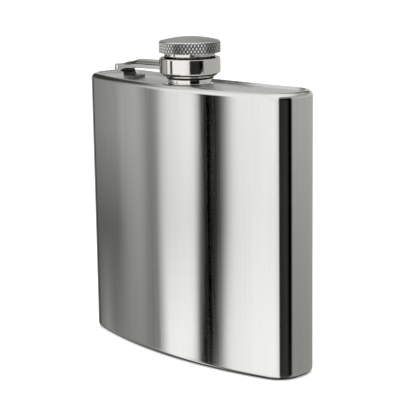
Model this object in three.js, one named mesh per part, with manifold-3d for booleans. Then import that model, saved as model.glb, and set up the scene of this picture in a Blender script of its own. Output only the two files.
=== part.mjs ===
// A curved pocket flask with a captive screw cap on a hinged arm. Millimetres, +Z up.
// The origin is at the centre of the bottom of the body's box: X runs along the width,
// -Y is the bulging front, and the cap's arm is hinged on the -X side.
import * as THREE from 'three';
import { mergeVertices } from 'three/addons/utils/BufferGeometryUtils.js';
import Module from 'manifold-3d';

const wasm = await Module();
wasm.setup();

// ---- Driving dimensions ----------------------------------------------------------------

// Body section, seen from above
const bodyWidth = 94;
const bodyHeight = 90.8;
const endDepth = 19; // depth at the narrow ends, with the faces carried on to the corners
const frontBulge = 7.9; // how far the middle of the front stands out past its corners
const backHollow = 2.5; // how far the middle of the back curves in, to sit on a hip
const frontCornerRadius = 9;
const backCornerRadius = 9;

// Sheet metal of the body
const wall = 0.7;
const edgeRadius = 1.8; // rolled edge between the walls and the rims
const rimLip = 0.5; // flat part of the rims, inside the rolled edge
const plateThickness = 0.8;
const topPlateDrop = 0.9; // the top plate lies this far below the upper rim
const weldGap = 0.3; // open seam where sheet pieces meet
const fitGap = 0.1; // between two pieces that are fixed to each other
const runningGap = 0.2; // radial, between two pieces that turn or slide

// Spout
const spoutSetback = 1; // behind the middle of the body's depth
const spoutBore = 4.9;
const spoutWall = 0.5;
const spoutBaseHeight = 2.5;
const spoutStep = 0.9; // how far the spout's foot stands out past the hole in the top plate
const spoutPilotDepth = 1.6; // below the top plate's upper face
const spoutHeight = 8.6; // mouth above the top plate
const threadHeight = 0.45;
const threadPitch = 1.3;
const threadTurns = 3;
const threadClearance = 0.5; // lets the cap tip off the spout on its arm
const spoutFlare = 0.7; // rim of the spout's foot
const spoutFlareHeight = 0.4;

// Cap
const capOverhang = 0.15; // how far the knurled band stands out past the collar
const capHeight = 3.75; // knurled band
const capDome = 1.3;
const capEdge = 0.45; // chamfer of the knurled band's edges
const capHubWall = 1.15;
const capNeck = 1.65; // narrow part seen between the collar and the knurled band
const capTurns = 1.5; // from shut to off the thread
const knurlTeeth = 60;
const knurlDepth = 0.25;
const gasketThickness = 1.2;
const gasketGap = 0.3; // between the gasket and the spout's mouth
const insertWall = 0.75;
const insertFoot = 0.2; // gap between the insert and the spout's shoulder

// Retaining ring in a groove round the cap's hub
const ringThickness = 0.6;
const ringReach = 0.8; // how far the ring stands out of its groove
const ringGrooveDepth = 0.55;
const ringMouth = 2; // opening of the split ring

// Collar that holds the cap on the arm
const collarWall = 0.6;
const collarFoot = 1.95; // underside above the top plate
const collarChamfer = 2.1; // height of the cone under the collar
const collarFloor = 1.5; // height of the collar's solid foot inside
const coverThickness = 0.6;
const coverDrop = 1; // the cover lies this far below the collar's top

// Arm
const armWidth = 7;
const armSheet = 0.7;
const armCrown = 1.4; // height of the arch across the arm
const armDepth = 2.75; // at the collar
const armBelowRim = 1.8; // top of the arm below the top of the collar
const armTipDepth = 2.2; // where the arm's web ends, near the hinge
const armTipDrop = 0.05; // underside of that end below the pivot
const armWebEnd = 3.2; // from the pivot to the end of the arm's web
const saddleSpan = 44; // degrees of the collar that the arm's end plate covers
const saddleThickness = 0.6;

// Hinge
const pivotReach = 32.5; // from the spout's axis to the hinge pin
const pivotHeight = 3.35; // above the top plate
const pinRadius = 0.75;
const pinHeadOverhang = 0.25;
const pinHeadThickness = 0.4;
const pinFit = 0.1;
const earWall = 0.6; // metal round the pin in the arm's ears
const knuckleWall = 0.5; // and in the bracket's knuckle
const strapThickness = 0.8;
const stemSetback = 2.8; // from the pivot to the bracket's upright
const footLength = 5.2;
const footWidth = 5.6;

// Facets
const roundSegments = 48;
const cornerSegments = 8;
const frontSegments = 24;
const backSegments = 12;
const edgeSegments = 4;

// ---- Derived places --------------------------------------------------------------------

const halfWidth = bodyWidth / 2;
const frontRadius = (halfWidth ** 2 + frontBulge ** 2) / (2 * frontBulge);
const backRadius = (halfWidth ** 2 + backHollow ** 2) / (2 * backHollow);
const cornerFront = Math.min(frontCornerRadius, 0.48 * endDepth);
const cornerBack = Math.min(backCornerRadius, 0.48 * endDepth);
// The back's corners stand out past its middle, so they set the depth of the body's box
const backTilt = Math.asin((halfWidth - cornerBack) / (backRadius + cornerBack));
const backRise = backRadius + cornerBack - (backRadius + cornerBack) * Math.cos(backTilt);
const middleDepth = endDepth + frontBulge - backHollow;
const frontMiddle = -(middleDepth + backRise) / 2;
const backMiddle = frontMiddle + middleDepth;

const rimWidth = edgeRadius + rimLip; // how far the rims reach in from the walls
const plateTop = bodyHeight - topPlateDrop;
const spoutY = (frontMiddle + backMiddle) / 2 + spoutSetback;
const spoutTop = plateTop + spoutHeight;
const spoutRootRadius = spoutBore + spoutWall;
const threadRadius = spoutRootRadius + threadHeight;

const insertBore = threadRadius + threadClearance;
const insertRadius = insertBore + insertWall;
const insertBottom = plateTop + spoutBaseHeight + insertFoot;
const spoutBaseRadius = insertRadius;
const spoutPilotRadius = spoutBaseRadius - spoutStep;
const gasketBottom = spoutTop + gasketGap;
const insertTop = gasketBottom - runningGap;
const capHubBore = insertRadius + fitGap / 2;
const capHubRadius = capHubBore + capHubWall;

const collarBore = insertRadius + 1.75 * runningGap;
const collarBottom = plateTop + collarFoot;
const collarFloorTop = collarBottom + collarFloor;
const capHubBottom = collarFloorTop + weldGap;
const ringBottom = capHubBottom + 2 * runningGap;
const ringRadius = capHubRadius + ringReach;
const collarRadius = ringRadius + 1.25 * runningGap + collarWall;
const coverBore = capHubRadius + runningGap;
// The ring rises with the cap, and stops just under the collar's cover
const capRise = capTurns * threadPitch;
const ringTopRaised = ringBottom + ringThickness + capRise;
const coverTop = ringTopRaised + 2 * runningGap + coverThickness;
const collarTop = coverTop + coverDrop - plateTop;
const capBottom = plateTop + collarTop + capNeck;
const capRadius = collarRadius + capOverhang;

const armTopside = collarTop - armBelowRim; // above the top plate
const armUnderside = armTopside - armDepth;
const armTipUnderside = pivotHeight - armTipDrop;
const armTipTopside = armTipUnderside + armTipDepth;
const pinHeadRadius = pinRadius + pinHeadOverhang;
const earRadius = pinRadius + earWall;
const knuckleRadius = pinRadius + knuckleWall;
const strapWidth = armWidth - 2 * (armSheet + 1.5 * runningGap);

const pivot = new THREE.Vector3(-pivotReach, spoutY, plateTop + pivotHeight);

// ---- Solids ----------------------------------------------------------------------------

// Merged, indexed and free of slivers, with its faces pointing out
function clean(geometry) {
  const bare = geometry.clone();
  bare.deleteAttribute('normal');
  bare.deleteAttribute('uv');
  const merged = mergeVertices(bare, 1e-4);
  const index = merged.getIndex().array;
  const kept = [];
  for (let i = 0; i < index.length; i += 3) {
    const [a, b, c] = [index[i], index[i + 1], index[i + 2]];
    if (a !== b && b !== c && c !== a) kept.push(a, b, c);
  }
  merged.setIndex(kept);
  if (signedVolume(merged) < 0) {
    for (let i = 0; i < kept.length; i += 3) [kept[i], kept[i + 1]] = [kept[i + 1], kept[i]];
    merged.setIndex(kept);
  }
  return merged;
}

function signedVolume(geometry) {
  const place = geometry.getAttribute('position');
  const index = geometry.getIndex().array;
  const [a, b, c] = [new THREE.Vector3(), new THREE.Vector3(), new THREE.Vector3()];
  let total = 0;
  for (let i = 0; i < index.length; i += 3) {
    a.fromBufferAttribute(place, index[i]);
    b.fromBufferAttribute(place, index[i + 1]);
    c.fromBufferAttribute(place, index[i + 2]);
    total += a.dot(b.cross(c)) / 6;
  }
  return total;
}

function toSolid(geometry) {
  const ready = clean(geometry);
  const vertProperties = new Float32Array(ready.getAttribute('position').array);
  const triVerts = new Uint32Array(ready.getIndex().array);
  return new wasm.Manifold(new wasm.Mesh({ numProp: 3, vertProperties, triVerts }));
}

function toGeometry(solid) {
  const mesh = solid.getMesh();
  const geometry = new THREE.BufferGeometry();
  const place = new Float32Array(mesh.vertProperties);
  geometry.setAttribute('position', new THREE.BufferAttribute(place, 3));
  geometry.setIndex([...mesh.triVerts]);
  return geometry;
}

function join(first, ...others) {
  return toGeometry(others.reduce((sum, item) => sum.add(toSolid(item)), toSolid(first)));
}

function cut(first, ...others) {
  return toGeometry(others.reduce((rest, item) => rest.subtract(toSolid(item)), toSolid(first)));
}

// A profile of [radius, z] points turned about the spout's axis
function turned(profile, segments = roundSegments) {
  const points = profile.map(([radius, z]) => new THREE.Vector2(radius, z));
  const geometry = new THREE.LatheGeometry(points, segments);
  geometry.rotateX(Math.PI / 2);
  geometry.translate(0, spoutY, 0);
  return clean(geometry);
}

// A closed ring of [radius, z] points turned about the spout's axis
function turnedRing(profile, segments = roundSegments) {
  return turned([...profile, profile[0]], segments);
}

function ringBand(inner, outer, bottom, top) {
  return turnedRing([[inner, bottom], [outer, bottom], [outer, top], [inner, top]]);
}

// An [x, z] outline pushed along Y, centred on a given y
function slab(outline, y, width) {
  const shape = new THREE.Shape(outline.map(([x, z]) => new THREE.Vector2(x, z)));
  const geometry = new THREE.ExtrudeGeometry(shape, { depth: width, bevelEnabled: false });
  geometry.rotateX(Math.PI / 2);
  geometry.translate(0, y + width / 2, 0);
  return clean(geometry);
}

// A round bar along Y
function bar(x, z, radius, y, width, segments = 24) {
  const geometry = new THREE.CylinderGeometry(radius, radius, width, segments);
  geometry.translate(x, y, z);
  return clean(geometry);
}

// Rings of points joined one to the next, with a flat cap at each end
function loft(rings, capOutline) {
  const count = rings[0].length;
  const place = rings.flat().flatMap((point) => [point.x, point.y, point.z]);
  const index = [];
  for (let i = 0; i + 1 < rings.length; i++) {
    for (let j = 0; j < count; j++) {
      const a = i * count + j;
      const b = i * count + ((j + 1) % count);
      index.push(a, b, a + count, b, b + count, a + count);
    }
  }
  const last = (rings.length - 1) * count;
  const outlineArea = THREE.ShapeUtils.area(capOutline);
  for (const [a, b, c] of THREE.ShapeUtils.triangulateShape(capOutline, [])) {
    const faceArea = THREE.ShapeUtils.area([capOutline[a], capOutline[b], capOutline[c]]);
    const [second, third] = faceArea * outlineArea > 0 ? [b, c] : [c, b];
    index.push(a, third, second, last + a, last + second, last + third);
  }
  const geometry = new THREE.BufferGeometry();
  geometry.setAttribute('position', new THREE.Float32BufferAttribute(place, 3));
  geometry.setIndex(index);
  return clean(geometry);
}

// Points of an arc, both ends included; angles in radians
function arc(centreX, centreY, radius, from, to, segments) {
  const points = [];
  for (let i = 0; i <= segments; i++) {
    const angle = from + ((to - from) * i) / segments;
    points.push([centreX + radius * Math.cos(angle), centreY + radius * Math.sin(angle)]);
  }
  return points;
}

// ---- Body ------------------------------------------------------------------------------

// Right half of the section: the front arc and its corner, then the back corner and arc.
// Each entry is a point and its outward normal.
function frontHalfOutline() {
  const centreY = frontMiddle + frontRadius;
  const cornerX = halfWidth - cornerFront;
  const tilt = Math.asin(cornerX / (frontRadius - cornerFront));
  const cornerY = centreY - (frontRadius - cornerFront) * Math.cos(tilt);
  const outline = [];
  for (let i = 0; i <= frontSegments / 2; i++) {
    const angle = (tilt * i) / (frontSegments / 2);
    const normal = [Math.sin(angle), -Math.cos(angle)];
    outline.push({ at: [frontRadius * normal[0], centreY + frontRadius * normal[1]], normal });
  }
  for (let i = 1; i <= cornerSegments; i++) {
    const angle = tilt + ((Math.PI / 2 - tilt) * i) / cornerSegments;
    const normal = [Math.sin(angle), -Math.cos(angle)];
    const at = [cornerX + cornerFront * normal[0], cornerY + cornerFront * normal[1]];
    outline.push({ at, normal });
  }
  return outline;
}

function backHalfOutline() {
  const centreY = backMiddle + backRadius;
  const cornerX = halfWidth - cornerBack;
  const cornerY = centreY - (backRadius + cornerBack) * Math.cos(backTilt);
  const outline = [];
  for (let i = 0; i <= cornerSegments; i++) {
    // The last step runs from the corner's furthest point back to where the hollow starts
    const quarter = Math.PI / 2;
    const angle = i < cornerSegments ? (quarter * i) / (cornerSegments - 1) : quarter + backTilt;
    const normal = [Math.cos(angle), Math.sin(angle)];
    const at = [cornerX + cornerBack * normal[0], cornerY + cornerBack * normal[1]];
    outline.push({ at, normal });
  }
  for (let i = 1; i <= backSegments / 2; i++) {
    const angle = backTilt * (1 - i / (backSegments / 2));
    const normal = [-Math.sin(angle), Math.cos(angle)];
    outline.push({ at: [-backRadius * normal[0], centreY - backRadius * normal[1]], normal });
  }
  return outline;
}

const frontRight = frontHalfOutline();
const backRight = backHalfOutline();
// The side seams lie half way along the flat of the ends
const seamY = (frontRight.at(-1).at[1] + backRight[0].at[1]) / 2;
const seamRight = { at: [halfWidth, seamY], normal: [1, 0] };

function mirrored({ at, normal }) {
  return { at: [-at[0], at[1]], normal: [-normal[0], normal[1]] };
}

// From the left seam round the front to the right seam, and from there round the back
const frontOutline = [
  mirrored(seamRight),
  ...frontRight.slice(1).reverse().map(mirrored),
  ...frontRight,
  seamRight,
];
const backOutline = [seamRight, ...backRight, ...backRight.slice(0, -1).reverse().map(mirrored),
  mirrored(seamRight)];

function inset({ at, normal }, amount) {
  return [at[0] - normal[0] * amount, at[1] - normal[1] * amount];
}

// The wall's section as [inset, z] points: up the outside, round the upper rolled edge,
// down the inside and round the lower one
function wallSection() {
  const outer = edgeRadius;
  const inner = edgeRadius - wall;
  const up = bodyHeight - edgeRadius;
  const quarter = Math.PI / 2;
  return [
    ...arc(outer, outer, outer, 3 * quarter, 2 * quarter, edgeSegments),
    ...arc(outer, up, outer, 2 * quarter, quarter, edgeSegments),
    [rimWidth, bodyHeight],
    [rimWidth, bodyHeight - wall],
    ...arc(outer, up, inner, quarter, 2 * quarter, edgeSegments),
    ...arc(outer, outer, inner, 2 * quarter, 3 * quarter, edgeSegments),
    [rimWidth, wall],
    [rimWidth, 0],
  ];
}

function shell(outline) {
  const section = wallSection();
  const rings = outline.map((station) => section.map(([depth, z]) => {
    const [x, y] = inset(station, depth);
    return new THREE.Vector3(x, y, z);
  }));
  return loft(rings, section.map(([depth, z]) => new THREE.Vector2(depth, z)));
}

// A flat plate that follows the section, with an optional round hole at the spout
function plate(margin, bottom, top, holeRadius) {
  const around = [...frontOutline, ...backOutline.slice(1, -1)];
  const shape = new THREE.Shape(around.map((p) => new THREE.Vector2(...inset(p, margin))));
  const depth = top - bottom;
  const geometry = new THREE.ExtrudeGeometry(shape, { depth, bevelEnabled: false });
  geometry.translate(0, 0, bottom);
  if (!holeRadius) return clean(geometry);
  return cut(geometry, turned([[0, bottom - 1], [holeRadius, bottom - 1],
    [holeRadius, top + 1], [0, top + 1]]));
}

// The top plate is tucked under the rolled rim, clear of the inside of the roll
function topPlate() {
  const rise = Math.max(0, edgeRadius - topPlateDrop);
  const roll = Math.sqrt(Math.max(0, (edgeRadius - wall) ** 2 - rise ** 2));
  const margin = edgeRadius - roll + 1.5 * fitGap;
  return plate(margin, plateTop - plateThickness, plateTop, spoutPilotRadius + fitGap);
}

function bottomPlate() {
  return plate(rimWidth + weldGap, 0, plateThickness, 0);
}

// ---- Spout and cap ---------------------------------------------------------------------

// A helix about the spout's axis that sinks towards its start and its end
class ThreadPath extends THREE.Curve {
  constructor(radius, bottom, sink) {
    super();
    Object.assign(this, { radius, bottom, sink });
  }

  getPoint(t, target = new THREE.Vector3()) {
    const runIn = 0.12;
    const fade = Math.max(0, 1 - Math.min(t, 1 - t) / runIn);
    const radius = this.radius + this.sink * fade;
    const angle = 2 * Math.PI * threadTurns * t;
    const z = this.bottom + threadPitch * threadTurns * t;
    return target.set(radius * Math.cos(angle), spoutY + radius * Math.sin(angle), z);
  }
}

function threadCoil(radius, bottom, sink, thickness) {
  const shape = new THREE.Shape().absarc(0, 0, thickness, 0, 2 * Math.PI);
  const path = new ThreadPath(radius, bottom, sink);
  const steps = 20 * threadTurns;
  const options = { steps, curveSegments: 3, bevelEnabled: false, extrudePath: path };
  return new THREE.ExtrudeGeometry(shape, options);
}

const threadBottom = plateTop + spoutBaseHeight + (spoutHeight - spoutBaseHeight
  - threadPitch * threadTurns) / 2;

function spout() {
  const shoulder = plateTop + spoutBaseHeight;
  const ease = 0.3; // broken edges of the shoulder and the mouth
  const body = turnedRing([
    [spoutBore, plateTop - spoutPilotDepth],
    [spoutPilotRadius, plateTop - spoutPilotDepth],
    [spoutPilotRadius, plateTop + fitGap],
    [spoutBaseRadius + spoutFlare, plateTop + fitGap],
    [spoutBaseRadius + spoutFlare, plateTop + spoutFlareHeight / 2],
    [spoutBaseRadius, plateTop + spoutFlareHeight],
    [spoutBaseRadius, shoulder - ease],
    [spoutBaseRadius - ease, shoulder],
    [spoutRootRadius, shoulder],
    [spoutRootRadius, spoutTop - ease],
    [spoutRootRadius - ease / 2, spoutTop],
    [spoutBore, spoutTop],
  ]);
  const coil = threadCoil(spoutRootRadius, threadBottom, -2 * threadHeight, threadHeight);
  const bore = ringBand(0, spoutBore, plateTop, spoutTop + 1);
  return cut(join(body, coil), bore);
}

function threadedInsert() {
  const tube = ringBand(insertBore, insertRadius, insertBottom, insertTop);
  const groove = threadHeight * 0.8;
  return cut(tube, threadCoil(insertBore, threadBottom, -2 * groove, groove));
}

// A disc with straight teeth and chamfered edges, for the grip round the cap
function knurledBand() {
  const shape = new THREE.Shape();
  const corners = 2 * knurlTeeth;
  for (let i = 0; i < corners; i++) {
    const radius = capRadius - (i % 2 ? knurlDepth : 0);
    const angle = (2 * Math.PI * i) / corners;
    const step = [radius * Math.cos(angle), radius * Math.sin(angle)];
    if (i) shape.lineTo(...step);
    else shape.moveTo(...step);
  }
  shape.closePath();
  const geometry = new THREE.ExtrudeGeometry(shape, { depth: capHeight, bevelEnabled: false });
  geometry.translate(0, spoutY, capBottom);
  return geometry;
}

// From the edge of the cap's top to its middle
function domeProfile(edge) {
  const steps = 4;
  const profile = [];
  for (let i = steps; i >= 0; i--) {
    const share = i / steps;
    profile.push([(capRadius - capEdge) * share, edge + capDome * (1 - share ** 2)]);
  }
  return profile;
}

function capHead() {
  const top = capBottom + capHeight;
  const envelope = turned([
    [0, capBottom],
    [capRadius - capEdge, capBottom],
    [capRadius + fitGap, capBottom + capEdge],
    [capRadius + fitGap, top - capEdge],
    ...domeProfile(top),
  ]);
  const grip = toGeometry(toSolid(knurledBand()).intersect(toSolid(envelope)));
  const dome = turned([[0, top - 1], [capRadius - capEdge, top - 1], ...domeProfile(top)]);
  const hub = turned([[0, capHubBottom], [capHubRadius, capHubBottom],
    [capHubRadius, capBottom + 1], [0, capBottom + 1]]);
  const socket = turned([[0, capHubBottom - 1], [capHubBore, capHubBottom - 1],
    [capHubBore, gasketBottom + gasketThickness + fitGap],
    [0, gasketBottom + gasketThickness + fitGap]]);
  const grooveBottom = ringBottom - fitGap;
  const groove = ringBand(capHubRadius - ringGrooveDepth, capHubRadius + 1, grooveBottom,
    grooveBottom + ringThickness + 2 * fitGap);
  return cut(join(grip, dome, hub), socket, groove);
}

function gasket() {
  const radius = capHubBore - 1.5 * fitGap;
  const top = gasketBottom + gasketThickness;
  return turned([[0, gasketBottom], [radius, gasketBottom], [radius, top], [0, top]]);
}

function retainingRing() {
  const ring = ringBand(capHubRadius - ringGrooveDepth + fitGap, ringRadius, ringBottom,
    ringBottom + ringThickness);
  const mouth = new THREE.BoxGeometry(ringRadius, ringMouth, 4 * ringThickness);
  mouth.translate(ringRadius, spoutY, ringBottom);
  return cut(ring, mouth);
}

// ---- Collar, arm and hinge -------------------------------------------------------------

function collarBody() {
  const top = plateTop + collarTop;
  const inside = collarRadius - collarWall;
  const ease = 0.3;
  const coneTop = collarBottom + collarChamfer;
  const coneSlope = (collarRadius - collarBore - ease) / collarChamfer;
  return turnedRing([
    [collarBore, collarBottom],
    [collarBore + ease, collarBottom],
    [collarRadius, coneTop],
    [collarRadius, top - ease],
    [collarRadius - ease, top],
    [inside, top],
    [inside, coneTop],
    [inside - (coneTop - collarFloorTop) * coneSlope, collarFloorTop],
    [collarBore, collarFloorTop],
  ]);
}

function collarCover() {
  return ringBand(coverBore, collarRadius - collarWall - fitGap, coverTop - coverThickness, coverTop);
}

// The arm's section at one place along it: an arched channel, open below
function armRing(x, underside, topside, crown) {
  const half = armWidth / 2;
  const shoulder = topside - crown;
  const outer = arc(0, 0, 1, 0, Math.PI, 8).map(([c, s]) => [half * c, shoulder + crown * s]);
  const inner = arc(0, 0, 1, Math.PI, 0, 8).map(([c, s]) => [
    (half - armSheet) * c,
    shoulder + (crown - armSheet) * s,
  ]);
  const section = [[half, underside], ...outer, [-half, underside],
    [armSheet - half, underside], ...inner, [half - armSheet, underside]];
  return section.map(([y, z]) => new THREE.Vector3(x, spoutY + y, plateTop + z));
}

function arm() {
  const webStart = -pivotReach + armWebEnd;
  const webBend = webStart + 5.3; // where the arm starts to slope down to the hinge
  const collarEnd = -(collarRadius + fitGap + saddleThickness / 2);
  const bendTopside = armTopside - 0.4;
  const bendUnderside = armUnderside - 0.4;
  const rings = [
    armRing(webStart, armTipUnderside, armTipTopside, armCrown * 0.6),
    armRing(webBend, bendUnderside, bendTopside, armCrown),
    armRing(collarEnd, armUnderside, armTopside, armCrown),
  ];
  const channel = loft(rings, rings[0].map((point) => new THREE.Vector2(point.y, point.z)));
  const earTop = armTipTopside - armCrown * 0.6;
  const earOutline = [
    [webStart + 0.5, plateTop + armTipUnderside + 0.05],
    [webStart + 0.5, plateTop + earTop + 0.05],
    ...arc(pivot.x, pivot.z, earRadius, 0.42 * Math.PI, 1.55 * Math.PI, 12),
  ];
  const earY = (armWidth - armSheet) / 2;
  const ears = [-earY, earY].map((offset) => slab(earOutline, spoutY + offset, armSheet));
  const hole = bar(pivot.x, pivot.z, pinRadius + pinFit, spoutY, armWidth + 2);
  return cut(join(channel, ...ears, saddle()), hole);
}

// The arm's end plate, curved round the collar
function saddle() {
  const inner = collarRadius + fitGap;
  const outer = inner + saddleThickness;
  const half = THREE.MathUtils.degToRad(saddleSpan / 2);
  const outline = [
    ...arc(0, spoutY, inner, Math.PI - half, Math.PI + half, 8),
    ...arc(0, spoutY, outer, Math.PI + half, Math.PI - half, 8),
  ];
  const shape = new THREE.Shape(outline.map(([x, y]) => new THREE.Vector2(x, y)));
  const low = plateTop + collarFoot + collarChamfer + fitGap;
  const depth = plateTop + collarTop - 2 * fitGap - low;
  const geometry = new THREE.ExtrudeGeometry(shape, { depth, bevelEnabled: false });
  geometry.translate(0, 0, low);
  return geometry;
}

function hingePin() {
  const shaft = bar(pivot.x, pivot.z, pinRadius, spoutY, armWidth + 2 * fitGap + pinHeadThickness);
  const headY = armWidth / 2 + fitGap + pinHeadThickness / 2;
  const heads = [-headY, headY].map((offset) => bar(pivot.x, pivot.z, pinHeadRadius,
    spoutY + offset, pinHeadThickness));
  return join(shaft, ...heads);
}

// One bent strap: a foot on the top plate, an upright and a rolled knuckle round the pin
function hingeBracket() {
  const bottom = plateTop + fitGap;
  const stem = pivot.x + stemSetback - strapThickness;
  const knuckleLow = pivot.z - knuckleRadius;
  const strap = slab([
    [stem, bottom],
    [stem + strapThickness, bottom],
    [stem + strapThickness, knuckleLow + strapThickness],
    [pivot.x, knuckleLow + strapThickness],
    [pivot.x, knuckleLow],
    [stem, knuckleLow],
  ], spoutY, strapWidth);
  const foot = slab([
    [stem, bottom],
    [stem + footLength, bottom],
    [stem + footLength, bottom + strapThickness],
    [stem, bottom + strapThickness],
  ], spoutY, footWidth);
  const knuckle = bar(pivot.x, pivot.z, knuckleRadius, spoutY, strapWidth);
  const hole = bar(pivot.x, pivot.z, pinRadius + pinFit, spoutY, strapWidth + 2);
  return cut(join(strap, foot, knuckle), hole);
}

// ---- Assembly --------------------------------------------------------------------------

const finishes = {
  brushed: { color: 0xb9bbbd, roughness: 0.32, metalness: 1 },
  satin: { color: 0xc4c6c8, roughness: 0.45, metalness: 1 },
  polished: { color: 0xd0cecb, roughness: 0.12, metalness: 1 },
  blackened: { color: 0x3c3c3a, roughness: 0.35, metalness: 1 },
  seal: { color: 0xe6e4dc, roughness: 0.6, metalness: 0 },
};

const group = new THREE.Group();

function add(name, geometry, finish) {
  const mesh = new THREE.Mesh(geometry, new THREE.MeshStandardMaterial(finishes[finish]));
  mesh.name = name;
  group.add(mesh);
}

add('front_shell', shell(frontOutline), 'brushed');
add('back_shell', shell(backOutline), 'brushed');
add('top_plate', topPlate(), 'satin');
add('bottom_plate', bottomPlate(), 'satin');
add('spout', spout(), 'polished');
add('hinge_bracket', hingeBracket(), 'blackened');
add('hinge_pin', hingePin(), 'polished');
add('cap_arm', arm(), 'polished');
add('collar_body', collarBody(), 'polished');
add('collar_cover', collarCover(), 'polished');
add('retaining_ring', retainingRing(), 'polished');
add('cap_head', capHead(), 'polished');
add('threaded_insert', threadedInsert(), 'polished');
add('cap_gasket', gasket(), 'seal');

export default group;
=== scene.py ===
"""A curved steel hip flask with a captive screw cap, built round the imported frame. Metres, +Z up."""
import math

import bmesh
import bpy
from mathutils import Matrix, Vector


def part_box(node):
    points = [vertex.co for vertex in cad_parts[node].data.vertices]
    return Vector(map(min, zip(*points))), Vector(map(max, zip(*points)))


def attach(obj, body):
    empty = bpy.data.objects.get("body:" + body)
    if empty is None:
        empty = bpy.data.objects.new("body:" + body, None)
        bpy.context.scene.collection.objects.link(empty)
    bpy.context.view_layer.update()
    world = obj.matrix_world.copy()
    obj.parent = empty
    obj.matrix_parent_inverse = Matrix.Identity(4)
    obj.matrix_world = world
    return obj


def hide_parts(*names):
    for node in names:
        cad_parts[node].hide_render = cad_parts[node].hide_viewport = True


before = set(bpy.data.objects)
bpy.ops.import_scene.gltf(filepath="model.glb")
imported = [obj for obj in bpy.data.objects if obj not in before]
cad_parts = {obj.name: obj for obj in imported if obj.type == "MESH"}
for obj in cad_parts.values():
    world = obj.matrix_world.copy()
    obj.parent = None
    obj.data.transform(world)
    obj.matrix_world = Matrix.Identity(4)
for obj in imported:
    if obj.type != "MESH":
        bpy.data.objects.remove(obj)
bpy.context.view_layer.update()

MM = 0.001
TAU = 2 * math.pi
QUARTER = math.pi / 2
NEARLY_STRAIGHT = math.radians(176)
ON_AXIS = 0.0001 * MM  # a radius below this is a point on the axis
SAME_PLACE = 0.001 * MM  # vertices closer than this are one

# ---- Driving sizes of the looks, in metres ----------------------------------------------

# Body section, seen from above
END_DEPTH = 19 * MM
FRONT_BULGE = 7.9 * MM
BACK_HOLLOW = 2.5 * MM
CORNER = 9 * MM
WALL = 0.7 * MM
EDGE = 1.8 * MM  # rolled edge between the walls and the rims
RIM = 2.3 * MM  # how far the rims reach in from the walls
TOP_LAP = 0.9 * MM  # how far the top plate reaches under the rim
WELD_GAP = 0.3 * MM
SHADE_LOW = 0.95 * MM  # painted contact shadow round the lower edge fades out between these heights
SHADE_HIGH = 1.45 * MM

# Thread
PITCH = 1.3 * MM
THREAD = 0.45 * MM
THREAD_TURNS = 3
THREAD_PLAY = 0.5 * MM  # between the crests on the spout and the cap's bore
CAP_THREAD = 0.3 * MM

# Knurl
KNURL_COUNT = 54
KNURL_PERIOD = 1.84 * MM  # along the axis
KNURL_DEPTH = 0.34 * MM
KNURL_SHARPNESS = 1.15  # above 1, the diamonds' points are cut off flat
KNURL_STEPS = 12  # mesh columns to a diamond
KNURL_ROWS = 26

# Cap
CAP_HEIGHT = 3.75 * MM
CAP_DOME = 1.3 * MM
CAP_EDGE = 0.4 * MM  # chamfer above the knurl
CAP_UNDEREDGE = 0.15 * MM  # chamfer below the knurl
HUB_WALL = 1.15 * MM
HUB_FIT = 0.05 * MM  # round the insert
RING_GROOVE = 0.55 * MM
RING_FIT = 0.1 * MM
RING_GAP = 2 * MM  # between the snap ring's ends

# Collar
COLLAR_WALL = 0.6 * MM
COLLAR_CONE = 2.1 * MM
COLLAR_FLOOR = 1.5 * MM
COLLAR_BORE_GAP = 0.35 * MM
COLLAR_EASE = 0.35 * MM

# Spout
SPOUT_WALL = 0.5 * MM
SPOUT_BORE = 4.9 * MM
SPOUT_PILOT = 0.9 * MM  # step from the neck in to the part inside the top plate
SPOUT_FLARE = 0.7 * MM
SPOUT_FLARE_HEIGHT = 0.5 * MM
SHOULDER_GAP = 0.2 * MM  # below the insert's foot when the cap is shut

# Arm
ARM_WIDTH = 7 * MM
ARM_SHEET = 0.7 * MM
ARM_CROWN = 1.25 * MM
ARM_FOLD = 0.35 * MM  # outer radius where the top folds down into the sides
ARM_DEPTH = 2.75 * MM
ARM_TIP_DEPTH = 2.2 * MM
ARM_BELOW_RIM = 1.8 * MM
ARM_START = 3.2 * MM  # from the pivot
ARM_BEND = 5.3 * MM  # from the arm's start
SADDLE = 0.6 * MM
SADDLE_HALF_ANGLE = math.radians(22)

# Hinge
EAR = 1.35 * MM
PIN = 0.75 * MM
PIN_HEAD = 0.9 * MM
PIN_HEAD_HEIGHT = 0.42 * MM
STRAP = 0.8 * MM
STRAP_FROM_PIN = 2.8 * MM
STRAP_BEND = 0.9 * MM  # at the middle of the sheet
STRAP_FOOT_HALF = 2.8 * MM
STRAP_NECK_HALF = 2.5 * MM
STRAP_LIT = 0.5 * MM  # the foot is painted bright, a painted highlight, up to this height
STRAP_SHADED = 1.7 * MM  # and painted black as shade from this height
KNUCKLE_HALF = 0.2 * MM  # half the sheet's thickness where it wraps the pin
KNUCKLE_TURN = math.radians(300)

# Camera
VIEW_AZIMUTH = 46.47  # degrees from the front towards +X
VIEW_PITCH = 11.79
VIEW_ROLL = -0.84
VIEW_DISTANCE = 468.8 * MM
VIEW_TARGET = Vector((-0.63 * MM, 4.4 * MM, 50.46 * MM))
SENSOR = 36  # millimetres
LENS = 126.4

# Studio
FLOOR_WIDTH = 12
SOFTBOX_WIDTH = 1.2
SOFTBOX_PLACE = (0.1, -0.2, 1.1)
SOFTBOX_TILT = math.radians(8)
SOFTBOX_WATTS = 7

# ---- Places from the frame --------------------------------------------------------------

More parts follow.
